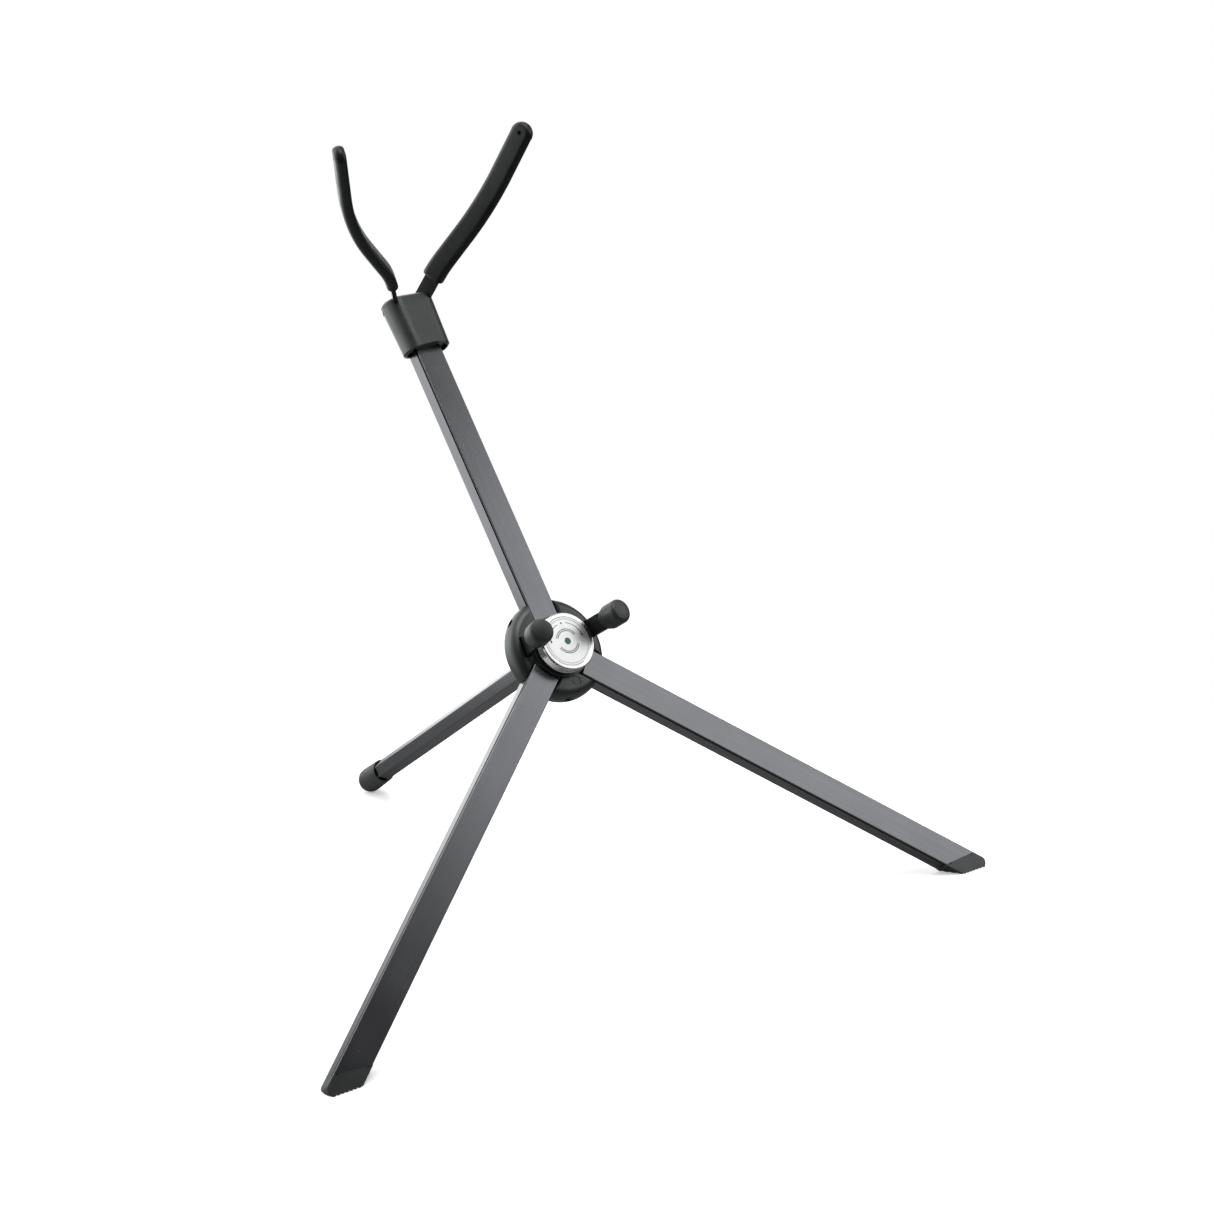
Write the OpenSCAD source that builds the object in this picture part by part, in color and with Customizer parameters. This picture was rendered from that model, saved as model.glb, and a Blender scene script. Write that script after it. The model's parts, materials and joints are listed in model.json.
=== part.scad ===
// Folding saxophone stand.
// A round hub carries an upright arm, two front legs and one rear leg. The arm and the front legs
// swing back on tangential pins to lie alongside the rear leg. A knob on the hub's axis clamps
// them. The arm ends in a block with two hinged prongs for the bell, and two pegs on the hub hold
// the instrument's body.
// Frame: X to the right, -Y to the front, Z up. The origin is on the floor, in the middle between
// the front edge of the feet and the back of the rear cap.

/* [Stance] */
// Lean of the hub disc behind the vertical, in degrees
hub_lean = 36.6; // [34:0.1:39]
// Angle of each front leg from straight down, in the plane of the hub, in degrees
leg_spread = 49; // [46:0.5:52]
// Extra lean of the arm behind the plane of the hub, in degrees
arm_lean = 4; // [0:0.1:6]
// Distance along a front leg from the hub's axis to the inner corner of its sole
leg_reach = 343.5; // [320:0.5:370]

/* [Limb tubes] */
// Width of the arm and the front leg tubes
tube_w = 20; // [18:0.5:22]
// Depth of the arm and the front leg tubes
tube_t = 12; // [11:0.5:13]
// Wall thickness of every tube
tube_wall = 1.4; // [1:0.1:1.8]
// Distance from the hub's axis to the inner end of the arm and leg tubes
tube_start = 22; // [21.5:0.1:23]
// Distance from the hub's axis to the upper end of the arm tube
arm_end = 254; // [245:1:256]
// Distance across the flats of the rear leg tube
rear_flats = 13.9; // [13:0.1:15]

/* [Hub] */
// Outer radius of the hub disc
hub_r = 36; // [35:0.5:38]
// Thickness of the hub disc
hub_t = 16; // [15:0.5:18]
// Radius of the rounded rim of the hub disc
hub_round = 7; // [5:0.5:7.5]
// Distance from the hub's axis to the hinge pins
pin_ring = 26; // [25.5:0.1:27]
// Radius of the hinge pins
pin_r = 2.5; // [2:0.1:3]

/* [Knob] */
// Outer radius of the clamp knob
knob_r = 20.4; // [18:0.1:20.8]
// Height of the knob's knurled body
knob_h = 7.5; // [6:0.1:9]
// Radius of the printed disc in the knob's face
disc_r = 17; // [14:0.1:17.5]
// Radius of the threaded spindle
spindle_r = 4; // [3:0.1:5]

/* [Pegs] */
// Width of a peg's flat bar
peg_w = 12.5; // [10:0.1:13]
// Height of a peg's tip above the front face of the legs
peg_tip = 37.5; // [30:0.5:45]
// Outward splay of the pegs, in degrees
peg_splay = 12; // [8:0.5:16]
// Largest diameter of a peg's rubber cap
peg_cap_d = 17.2; // [16.4:0.1:18]

/* [Yoke] */
// Distance from the hub's axis to the lower end of the yoke block
yoke_from = 230; // [225:0.5:235]
// Distance from the hub's axis to the upper end of the yoke block
yoke_to = 270.5; // [268:0.5:274]
// Width of the yoke block at its upper end
yoke_w = 38.8; // [37:0.1:42]
// Depth of the yoke block at its upper end
yoke_d = 21.8; // [21:0.1:24]

/* [Prongs] */
// Thickness of a prong's flat bar
prong_t = 3; // [2.5:0.1:3.2]
// Width of a prong's flat bar
prong_w = 11; // [9:0.1:12]
// Forward lean of a prong from the arm, in degrees
prong_lean = 61.7; // [50:0.1:70]
// Length of a prong's straight base from its pin to the first bend
prong_base = 23.1; // [22:0.1:28]
// Length of the straight stretch between a prong's two bends
prong_middle = 20.3; // [10:0.1:30]
// Length of the straight tip of a prong's sleeve
prong_tip = 39.5; // [30:0.1:45]
// Width of a prong's sleeve
sleeve_w = 16.4; // [15:0.1:18]
// Thickness of a prong's sleeve
sleeve_t = 8; // [7:0.1:9]

/* [Hidden] */
$fn = 96;
gap = 0.05;                      // clearance between pieces that are fixed together
swing_gap = 0.3;                 // clearance on each side of a limb in its hub slot
bore_gap = 0.05;                 // radial clearance of a bore that turns on a pin
press_gap = 0.02;                // radial clearance of a bore that holds a pin
through = 1;                     // how far a cutter runs past the material it cuts

tube_round = 0.7;                // corner radius of the flat tubes
groove_w = 1.2;                  // groove along both sides, just behind the tube's front face
groove_deep = 0.6;
groove_from = 0.7;

pin_z = -tube_t / 2;
nose_r = norm([pin_ring - tube_start, tube_t / 2]) - gap;
block_len = 30;                  // hinge block's length inside its tube
slot_w = tube_w + 2 * swing_gap;
slot_round = 1.6;                // rounding where a slot meets the hub's faces
core_r = 17.5;                   // solid core of the hub between its slots
boss_r = 15;                     // boss behind the hub that holds the rear leg tube
boss_end = -38;
pin_seat = 8;                    // how deep a hinge pin sits in the hub beyond the slot
pin_mouth = 19.5;                // a hinge pin's end, sunk below the hub's rim

// Height of the legs' front face on the hub's axis: the soles' inner corners touch the floor.
sole_drop = leg_reach * cos(leg_spread) + tube_w / 2 * sin(leg_spread);
hub_height = sole_drop * cos(hub_lean);

rear_cap_r = 9.2;                // rear cap's dome, which rests on the floor
rear_dome = (hub_height - rear_cap_r) / sin(hub_lean);
rear_rim = rear_dome - 23;       // open rim of the rear cap
rear_rim_r = 8.7;
rear_top = -12;                  // upper end of the rear leg tube, inside the hub

// Depth of the hub's place: the soles' front edge and the rear cap stand equally far from Y = 0.
front_reach = hub_height * tan(hub_lean);
rear_reach = rear_dome * cos(hub_lean) + rear_cap_r;
hub_y = (front_reach - rear_reach) / 2;

mitre_from = 327.4;              // inner corner of a front leg tube's mitred end
foot_round = 4.5;                // rounding of a foot's outer tip
foot_plug = 14;                  // length of a foot's plug inside its tube
foot_proud = 0.4;
rib_pitch = 3;                   // distance between the grooves under a foot

plate_from = gap;
plate_t = 2.1;
plate_r = 21.7;
washer_t = 0.8;
knob_from = 4.5;
knob_boss = 1.3;                 // boss under the knob that bears on the washer
knob_bevel = 1.1;
disc_t = 0.5;
insert_r = 7;
insert_len = 6.8;
knob_end_wall = 0.5;             // closed end of the insert, over the spindle
spindle_deep = 40;               // how far the spindle reaches into the rear leg

spindle_top = knob_from - knob_boss + insert_len - knob_end_wall - 0.5;

peg_t = 3;
peg_x = 24.8;                    // distance of a peg's foot from the hub's axis
peg_u = 6;                       // distance of a peg above the hub's axis, in the hub's plane
peg_foot = -13;                  // lower end of a peg inside the hub
peg_bend = -2;                   // where a peg bends outward
peg_cap_len = 17;
peg_cap_end = 4;                 // rubber beyond the end of a peg
rivet_r = 1.5;                   // cross rivet through a peg's foot
rivet_len = 12;

yoke_centre = -3;                // middle of the yoke block's depth, from the arm's front face
yoke_taper = 1.6;                // how much narrower each side is at the lower end
yoke_round = 1.4;
screw_y = 19;                    // yoke screw's distance above the block's lower end
screw_seat = -12.8;              // where its head bears, behind the arm tube
screw_r = 1.5;
screw_head_r = 3;
screw_head_t = 0.6;
screw_len = 6;
prong_pin_x = 8.4;               // a prong pin's place in the yoke block
prong_pin_y = 265.3;
prong_pin_z = -4;
prong_toe = 29;                  // the prong pins point outward and back
prong_tilt = 7;
prong_pin_r = 2.35;
prong_slot = 0.1;                // clearance on each side of a prong in its slot
out_radius = 43.4;               // first bend of a prong, outward
out_angle = 21.2;
back_radius = 112.5;             // second bend of a prong, back inward
back_angle = 25.8;
sleeve_from = 22.5;              // lower end of a sleeve, from the prong's pin
bend_steps = 12;                 // straight pieces that follow each bend
trim_extra = 0.3;
pin_inner = 5;                   // a prong pin's reach on each side of its prong
pin_outer = 10.6;
bar_short = 14;                  // how far a prong's bar stops short of its sleeve's end
tip_hole_r = 1.5;
tip_hole_back = 7.5;             // distance of the sleeve's hole from the sleeve's end

plastic_black = [0.10, 0.11, 0.11];
rubber_black = [0.07, 0.08, 0.08];
steel_black = [0.05, 0.05, 0.06];
tube_grey = [0.42, 0.42, 0.45];
silver = [0.80, 0.81, 0.83];
brass = [0.78, 0.64, 0.34];
white = [0.94, 0.95, 0.95];

// ---- Frames ----------------------------------------------------------------------------------

// Hub frame: X to the right, Y up the hub's face, Z out of the face along the hub's axis.
module at_hub() {
    translate([0, hub_y, hub_height])
        rotate([90 - hub_lean, 0, 0])
            children();
}

// Arm frame: as the hub frame, with Y along the arm.
module at_arm() {
    at_hub()
        rotate([-arm_lean, 0, 0])
            children();
}

// Mirrors the right-hand piece for the left-hand side.
module on_side(side) {
    if (side < 0)
        mirror([1, 0, 0]) children();
    else
        children();
}

// Front leg frame: X along the leg, Z out of its front face. Y points away from the other leg.
module at_leg(side) {
    at_hub()
        on_side(side)
            rotate([0, 0, leg_spread - 90])
                children();
}

// Rear leg frame: Z runs back and down along the rear leg.
module at_rear() {
    at_hub()
        rotate([180, 0, 0])
            children();
}

// Peg frame: Z along a peg's splayed upper part, from its bend.
module at_peg(side) {
    at_hub()
        on_side(side)
            translate([peg_x, peg_u, peg_bend])
                rotate([0, peg_splay, 0])
                    children();
}

// Prong frame, inside the arm frame: X outward along the pin, Y along the prong's straight base.
module prong_frame(side) {
    on_side(side)
        translate([prong_pin_x, prong_pin_y, prong_pin_z])
            rotate([0, prong_toe, 0])
                rotate([prong_lean, 0, prong_tilt])
                    children();
}

// ---- Shared shapes ---------------------------------------------------------------------------

// Rectangle with exact round corners, centred on the origin.
module round_rect(w, h, r) {
    square([w - 2 * r, h], center = true);
    square([w, h - 2 * r], center = true);
    for (x = [-1, 1], y = [-1, 1])
        translate([x * (w / 2 - r), y * (h / 2 - r)])
            circle(r);
}

// Turns a flat section (across, up) into a bar of the given length along X.
module along_x(length) {
    rotate([90, 0, 90])
        linear_extrude(length)
            children();
}

// Plug along X that fits inside a flat limb tube.
module tube_plug(from, length) {
    translate([from, 0, pin_z])
        along_x(length)
            round_rect(tube_w - 2 * tube_wall - 2 * gap, tube_t - 2 * tube_wall - 2 * gap,
                       tube_round);
}

// Flat limb tube along X: hollow, with a groove along each side behind the front face.
module limb_section() {
    difference() {
        round_rect(tube_w, tube_t, tube_round);
        round_rect(tube_w - 2 * tube_wall, tube_t - 2 * tube_wall, tube_round);
        for (side = [-1, 1])
            translate([side * tube_w / 2, tube_t / 2 - groove_from - groove_w / 2])
                square([2 * groove_deep, groove_w], center = true);
    }
}

// Cutter along Y through a limb at its hinge pin.
module pin_hole(r) {
    translate([pin_ring, 0, pin_z])
        rotate([90, 0, 0])
            cylinder(h = 2 * hub_r, r = r, center = true);
}

module limb_tube(length) {
    color(tube_grey)
        difference() {
            translate([tube_start, 0, pin_z])
                along_x(length - tube_start)
                    limb_section();
            pin_hole(pin_r + 2 * bore_gap);
        }
}

// Plastic block in a limb's inner end. Its nose is round about the hinge pin, so that it swings
// under the clamp plate.
module hinge_block() {
    color(plastic_black)
        difference() {
            union() {
                tube_plug(tube_start - 1, block_len + 1);
                intersection() {
                    translate([pin_ring, 0, pin_z])
                        rotate([90, 0, 0])
                            cylinder(h = tube_w - 0.4, r = nose_r, center = true);
                    translate([tube_start - 10 - gap, -tube_w / 2, -tube_t])
                        cube([10, tube_w, tube_t]);
                }
            }
            pin_hole(pin_r + bore_gap);
        }
}

// Hinge pin along Y of a limb frame. Its outer end stands on the +Y side, below the hub's rim.
module hinge_pin() {
    from = -(slot_w / 2 + pin_seat);
    color(silver)
        translate([pin_ring, from, pin_z])
            rotate([-90, 0, 0])
                cylinder(h = pin_mouth - from, r = pin_r);
}

// Hub bore for one hinge pin: blind on one side, open at the rim on the other.
module hinge_pin_bore() {
    from = -(slot_w / 2 + pin_seat + swing_gap);
    translate([pin_ring, from, pin_z])
        rotate([-90, 0, 0])
            cylinder(h = hub_r - from, r = pin_r + press_gap);
}

// Rubber cap around Z: a narrow rim at the bottom that widens between the heights "lip" and
// "flare", then straight sides and an end with a round edge. The pocket is a round bore.
module rubber_cap(rim_r, lip, shoulder_r, flare, length, edge, pocket_r, pocket_len) {
    color(rubber_black)
        rotate_extrude()
            difference() {
                union() {
                    polygon([
                        [0, 0], [rim_r - 0.5, 0], [rim_r, 0.5], [rim_r, lip],
                        [shoulder_r, flare], [shoulder_r, length - edge], [0, length - edge]
                    ]);
                    square([shoulder_r - edge + 0.01, length]);
                    intersection() {
                        translate([shoulder_r - edge, length - edge])
                            circle(edge);
                        square([shoulder_r, length]);
                    }
                }
                translate([0, -through])
                    square([pocket_r, pocket_len + through]);
            }
}

// ---- Hub -------------------------------------------------------------------------------------

// Half section of the hub disc with its rounded rim.
module hub_section() {
    translate([0, -hub_t])
        square([hub_r - hub_round, hub_t]);
    translate([0, hub_round - hub_t])
        square([hub_r, hub_t - 2 * hub_round]);
    for (z = [-hub_round, hub_round - hub_t])
        translate([hub_r - hub_round, z])
            circle(hub_round);
}

// Section across a limb slot, with rounded edges where it meets the hub's two faces.
module slot_section() {
    mouth = slot_w + 2 * slot_round;
    square([slot_w, hub_t + 2 * through], center = true);
    for (face = [-1, 1])
        difference() {
            translate([0, face * (hub_t / 2)])
                square([mouth, 2 * slot_round], center = true);
            for (side = [-1, 1])
                translate([side * mouth / 2, face * (hub_t / 2 - slot_round)])
                    circle(slot_round);
        }
}

module limb_slot() {
    translate([core_r, 0, -hub_t / 2])
        along_x(hub_r)
            slot_section();
}

// Pocket in the hub for a peg's foot, and its rivet's bore.
module peg_pocket() {
    room = 4 * gap;
    step_deep = 3;
    translate([peg_x, peg_u, peg_foot])
        linear_extrude(2 * hub_t)
            square([peg_t + room, peg_w + room], center = true);
    translate([peg_x + 0.6, peg_u, -step_deep])
        linear_extrude(2 * hub_t)
            square([peg_t + 2, peg_w + 2], center = true);
    peg_rivet(rivet_r + gap, rivet_len + 2);
}

module rear_hexagon(grow) {
    rotate(30)
        circle(r = (rear_flats / 2 + grow) / cos(30), $fn = 6);
}

module hub_body() {
    color(plastic_black)
        at_hub()
            difference() {
                union() {
                    rotate_extrude()
                        hub_section();
                    translate([0, 0, boss_end])
                        cylinder(h = -boss_end - hub_t / 2, r = boss_r);
                }
                for (angle = [90, leg_spread - 90, -leg_spread - 90])
                    rotate(angle)
                        limb_slot();
                rotate([-arm_lean, 0, 0])
                    rotate(90)
                        hinge_pin_bore();
                for (side = [-1, 1])
                    rotate(side * leg_spread - 90)
                        hinge_pin_bore();
                for (side = [-1, 1])
                    on_side(side)
                        peg_pocket();
                translate([0, 0, boss_end - through])
                    linear_extrude(rear_top - boss_end + through + gap)
                        rear_hexagon(gap);
                translate([0, 0, -hub_t - through])
                    cylinder(h = 2 * hub_t, r = spindle_r + 2 * bore_gap);
                moulding_mark();
            }
}

// Shallow round mark of the mould on the hub's lower sector.
module moulding_mark() {
    mark_depth = 0.3;
    translate([3, -25.5, -mark_depth])
        difference() {
            cylinder(h = 1, r = 3.4);
            translate([0, 0, -through])
                cylinder(h = 2 + through, r = 2.7);
        }
}

module knob_spindle() {
    color(silver)
        at_hub()
            translate([0, 0, -spindle_deep])
                cylinder(h = spindle_deep + spindle_top, r = spindle_r);
}

module rear_leg_tube() {
    color(tube_grey)
        at_rear()
            difference() {
                translate([0, 0, -rear_top])
                    linear_extrude(rear_dome + rear_top)
                        rear_hexagon(0);
                translate([0, 0, -rear_top - through])
                    linear_extrude(rear_dome + rear_top + 2 * through)
                        rear_hexagon(-tube_wall);
            }
}

// Plug in the top of the rear tube, with the bore that the spindle screws into.
module rear_leg_plug() {
    color(plastic_black)
        at_rear()
            difference() {
                translate([0, 0, -rear_top + 1])
                    linear_extrude(34)
                        rear_hexagon(-tube_wall - gap);
                cylinder(h = 60, r = spindle_r + bore_gap);
            }
}

module rear_leg_cap() {
    pocket_r = rear_flats / 2 / cos(30) + gap;
    to_dome = rear_dome - rear_rim;
    at_rear()
        translate([0, 0, rear_rim])
            rubber_cap(rear_rim_r, 2, rear_cap_r, 14, to_dome + rear_cap_r, rear_cap_r,
                       pocket_r, to_dome + gap);
}

module arm_pin() {
    at_arm() rotate(90) hinge_pin();
}

module left_leg_pin() {
    at_hub() rotate(-leg_spread - 90) hinge_pin();
}

module right_leg_pin() {
    at_hub() rotate(leg_spread - 90) hinge_pin();
}

// ---- Pegs ------------------------------------------------------------------------------------

// Flat bar: upright in the hub, then splayed outward.
module peg(side) {
    upper = (peg_tip - peg_bend) / cos(peg_splay) - peg_cap_end;
    color(steel_black)
        difference() {
            union() {
                at_hub()
                    on_side(side)
                        translate([peg_x, peg_u, peg_foot])
                            linear_extrude(peg_bend - peg_foot)
                                square([peg_t, peg_w], center = true);
                at_peg(side)
                    linear_extrude(upper)
                        square([peg_t, peg_w], center = true);
                at_hub()
                    on_side(side)
                        translate([peg_x, peg_u, peg_bend])
                            rotate([90, 0, 0])
                                cylinder(h = peg_w, r = peg_t / 2, center = true);
            }
            at_hub()
                on_side(side)
                    peg_rivet(rivet_r + gap, rivet_len);
        }
}

module peg_rivet(r, length) {
    translate([peg_x, peg_u, peg_foot / 2 - 1])
        rotate([0, 90, 0])
            cylinder(h = length, r = r, center = true);
}

module peg_rivets() {
    color(silver)
        at_hub()
            for (side = [-1, 1])
                on_side(side)
                    peg_rivet(rivet_r, rivet_len);
}

module peg_cap(side) {
    length = (peg_tip - peg_bend) / cos(peg_splay);
    pocket_r = norm([peg_t, peg_w]) / 2 + gap;
    at_peg(side)
        translate([0, 0, length - peg_cap_len])
            rubber_cap(pocket_r + 1, 1.2, peg_cap_d / 2, 4, peg_cap_len, 4.5, pocket_r,
                       peg_cap_len - peg_cap_end + gap);
}

module left_peg() { peg(-1); }
module right_peg() { peg(1); }
module left_peg_cap() { peg_cap(-1); }
module right_peg_cap() { peg_cap(1); }

// ---- Knob ------------------------------------------------------------------------------------

module clamp_plate() {
    color(plastic_black)
        at_hub()
            translate([0, 0, plate_from])
                difference() {
                    cylinder(h = plate_t, r = plate_r);
                    translate([0, 0, -through])
                        cylinder(h = plate_t + 2 * through, r = spindle_r + 2 * bore_gap);
                }
}

module thrust_washer() {
    color(silver)
        at_hub()
            translate([0, 0, plate_from + plate_t + gap])
                difference() {
                    cylinder(h = washer_t, r = 10);
                    translate([0, 0, -through])
                        cylinder(h = washer_t + 2 * through, r = spindle_r + 2 * bore_gap);
                }
}

module knob() {
    top = knob_from + knob_h;
    color(silver)
        at_hub()
            rotate_extrude()
                difference() {
                    polygon([
                        [0, knob_from - knob_boss], [12, knob_from - knob_boss],
                        [12, knob_from], [knob_r, knob_from], [knob_r, top - knob_bevel],
                        [knob_r - knob_bevel, top], [0, top]
                    ]);
                    translate([0, top - disc_t - gap])
                        square([disc_r + gap, 2]);
                    translate([0, knob_from - knob_boss - through])
                        square([insert_r + gap, insert_len + through + gap]);
                }
}

module knob_insert() {
    color(brass)
        at_hub()
            translate([0, 0, knob_from - knob_boss])
                difference() {
                    cylinder(h = insert_len, r = insert_r);
                    translate([0, 0, -through])
                        cylinder(h = insert_len - knob_end_wall + through,
                                 r = spindle_r + bore_gap);
                }
}

module knob_disc() {
    color(white)
        at_hub()
            translate([0, 0, knob_from + knob_h - disc_t])
                cylinder(h = disc_t, r = disc_r);
}

// ---- Arm -------------------------------------------------------------------------------------

module arm_tube() {
    at_arm()
        difference() {
            rotate(90)
                limb_tube(arm_end);
            color(tube_grey)
                yoke_screw_shape(gap, 0);
        }
}

module arm_hinge_block() {
    at_arm() rotate(90) hinge_block();
}

// Oval section of the yoke block: a flat front and back with half-round sides.
module yoke_section(w, d) {
    square([w - d, d], center = true);
    for (side = [-1, 1])
        translate([side * (w - d) / 2, 0])
            circle(d / 2, $fn = 48);
}

// One thin slice of the yoke block at a height along the arm, shrunk on every side.
module yoke_slice(y, shrink) {
    rise = (yoke_to - y) / (yoke_to - yoke_from);
    w = yoke_w - 2 * yoke_taper * rise - 2 * shrink;
    d = yoke_d - yoke_taper * rise - 2 * shrink;
    translate([0, y, yoke_centre])
        rotate([90, 0, 0])
            linear_extrude(0.1)
                yoke_section(w, d);
}

// Everything a prong sweeps inside the yoke block, from in use to in line with the arm: a fan
// around the prong's pin.
module prong_sweep() {
    half = prong_w / 2 + prong_slot;
    reach = 30;
    up = [sin(prong_lean), cos(prong_lean)];
    along = [cos(prong_lean), -sin(prong_lean)];
    thick = prong_t + 2 * prong_slot;
    translate([-thick / 2, 0, 0])
        along_x(thick) {
            circle(half + trim_extra);
            polygon([[0, half], [reach, half], [reach, -reach],
                     along * reach - up * half, -up * half]);
        }
}

module yoke_block() {
    lip = 2.2;
    socket = 2.5;
    color(plastic_black)
        at_arm()
            difference() {
                hull() {
                    yoke_slice(yoke_from + 0.1, yoke_round);
                    yoke_slice(yoke_from + yoke_round, 0);
                    yoke_slice(yoke_to - yoke_round, 0);
                    yoke_slice(yoke_to, yoke_round);
                }
                translate([0, yoke_from + socket, yoke_centre])
                    rotate([90, 0, 0])
                        linear_extrude(socket + through)
                            yoke_section(yoke_w - 2 * (yoke_taper + lip),
                                         yoke_d - yoke_taper - 2 * lip);
                rotate(90)
                    limb_envelope_cut(yoke_from - through, arm_end + gap);
                translate([0, yoke_from - 58, 0])
                    cylinder(h = 3 * yoke_d, r = 60, center = true, $fn = 180);
                for (side = [-1, 1])
                    prong_frame(side) {
                        prong_sweep();
                        rotate([0, 90, 0])
                            translate([0, 0, -pin_inner - swing_gap])
                                cylinder(h = yoke_w, r = prong_pin_r + press_gap);
                    }
                yoke_screw_shape(gap, 2);
            }
}

// Room for the limb tube inside the yoke block.
module limb_envelope_cut(from, to) {
    translate([from, 0, pin_z])
        along_x(to - from)
            round_rect(tube_w + 2 * gap, tube_t + 2 * gap, tube_round);
}

// Flat-headed screw from the back of the yoke block into the arm tube, grown by "grow" all round
// and drawn "proud" beyond its head.
module yoke_screw_shape(grow, proud) {
    translate([0, yoke_from + screw_y, screw_seat]) {
        translate([0, 0, -screw_head_t - proud])
            cylinder(h = screw_head_t + proud, r = screw_head_r + grow);
        translate([0, 0, -screw_head_t])
            cylinder(h = screw_head_t + screw_len, r = screw_r + grow);
    }
}

module yoke_screw() {
    color(steel_black)
        at_arm()
            yoke_screw_shape(0, 0);
}

// ---- Prongs ----------------------------------------------------------------------------------

// Point at a distance along a prong's centre line, moved sideways by "off". The line runs straight,
// bends outward, runs straight again, bends back more gently and ends in a straight tip.
function turned(angle, v) = [
    v[0] * cos(angle) + v[1] * sin(angle),
    v[1] * cos(angle) - v[0] * sin(angle)
];
function bend_out(angle, off) = [
    out_radius - (out_radius - off) * cos(angle),
    prong_base + (out_radius - off) * sin(angle)
];
function bend_back(angle, off) =
    bend_out(out_angle, 0)
    + turned(out_angle, [-back_radius, prong_middle])
    + turned(out_angle - angle, [back_radius + off, 0]);
function tip_point(distance, off) =
    bend_back(back_angle, 0) + turned(out_angle - back_angle, [off, distance]);
function side_of_path(from, tip_length, off) = concat(
    [[off, from]],
    [for (i = [0:bend_steps]) bend_out(out_angle * i / bend_steps, off)],
    [for (i = [0:bend_steps]) bend_back(back_angle * i / bend_steps, off)],
    [tip_point(tip_length, off)]
);
function reversed(list) = [for (i = [len(list) - 1:-1:0]) list[i]];

// Bar with square ends along a prong's centre line.
module bent_bar(from, tip_length, bar, thick) {
    translate([0, 0, -bar / 2])
        linear_extrude(bar)
            polygon(concat(side_of_path(from, tip_length, thick / 2),
                           reversed(side_of_path(from, tip_length, -thick / 2))));
}

// Keeps what lies inside a long outline seen along X: square or round at its lower end, and round
// at its upper end. The outline is a little wider than the bar, so that it trims only the ends.
module trim_ends(from, round_base, tip_length, bar) {
    r = bar / 2 + trim_extra;
    tip_y = tip_point(tip_length, 0)[1];
    intersection() {
        translate([-4 * bar, 0, 0])
            along_x(8 * bar) {
                translate([from, -r])
                    square([tip_y - r - from, 2 * r]);
                translate([tip_y - r, 0])
                    circle(r);
                if (round_base)
                    translate([from, 0])
                        circle(r);
            }
        children();
    }
}

module prong(side) {
    bar_tip = prong_tip - bar_short;
    color(steel_black)
        at_arm()
            prong_frame(side)
                difference() {
                    trim_ends(0, true, bar_tip, prong_w)
                        bent_bar(-prong_w, bar_tip + through, prong_w, prong_t);
                    rotate([0, 90, 0])
                        cylinder(h = 2 * prong_w, r = prong_pin_r + bore_gap, center = true);
                }
}

module prong_pin(side) {
    color(silver)
        at_arm()
            prong_frame(side)
                rotate([0, 90, 0])
                    translate([0, 0, -pin_inner])
                        cylinder(h = pin_inner + pin_outer, r = prong_pin_r);
}

// Soft sleeve over the prong, hollow for the bar, with a small hole through it near its tip.
module prong_sleeve(side) {
    pocket_from = sleeve_from - through;
    color(rubber_black)
        at_arm()
            prong_frame(side)
                difference() {
                    trim_ends(pocket_from, false, prong_tip, sleeve_w)
                        bent_bar(sleeve_from, prong_tip + through, sleeve_w, sleeve_t);
                    bent_bar(pocket_from, prong_tip - bar_short + 4 * gap, prong_w + 2 * gap,
                             prong_t + 2 * gap);
                    translate(concat(tip_point(prong_tip - tip_hole_back, 0), [0]))
                        rotate([0, 0, back_angle - out_angle])
                            rotate([0, 90, 0])
                                cylinder(h = 2 * sleeve_t, r = tip_hole_r, center = true);
                }
}

module left_prong() { prong(-1); }
module right_prong() { prong(1); }
module left_prong_pin() { prong_pin(-1); }
module right_prong_pin() { prong_pin(1); }
module left_prong_sleeve() { prong_sleeve(-1); }
module right_prong_sleeve() { prong_sleeve(1); }

// ---- Front legs ------------------------------------------------------------------------------

// Everything beyond a leg tube's mitred end, shifted outward by "shift".
module beyond_mitre(shift) {
    middle = mitre_from + tube_w / 2 + shift;
    reach = 100;
    translate([middle, 0, 0])
        rotate([0, 0, -45])
            translate([0, -reach, -reach])
                cube([reach, 2 * reach, 2 * reach]);
}

module leg_tube(side) {
    at_leg(side)
        difference() {
            limb_tube(mitre_from + tube_w + through);
            beyond_mitre(0);
        }
}

// Everything below the floor, in world coordinates.
module below_floor() {
    size = 2000;
    translate([-size / 2, -size / 2, -size])
        cube(size);
}

// Everything inside a leg tube's mitred end.
module before_mitre() {
    middle = mitre_from + tube_w / 2;
    reach = 100;
    translate([middle, 0, 0])
        rotate([0, 0, -45])
            translate([-reach, -reach, -reach])
                cube([reach, 2 * reach, 2 * reach]);
}

// Foot: a plug inside the tube and a cap cut level with the floor, with a ribbed sole.
module leg_foot(side) {
    color(plastic_black)
        difference() {
            at_leg(side)
                union() {
                    difference() {
                        foot_outline();
                        translate([gap, 0, 0])
                            before_mitre();
                        foot_notches();
                    }
                    difference() {
                        tube_plug(mitre_from - foot_plug, foot_plug + tube_w);
                        beyond_mitre(2);
                    }
                }
            below_floor();
            sole_grooves(side);
        }
}

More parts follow.
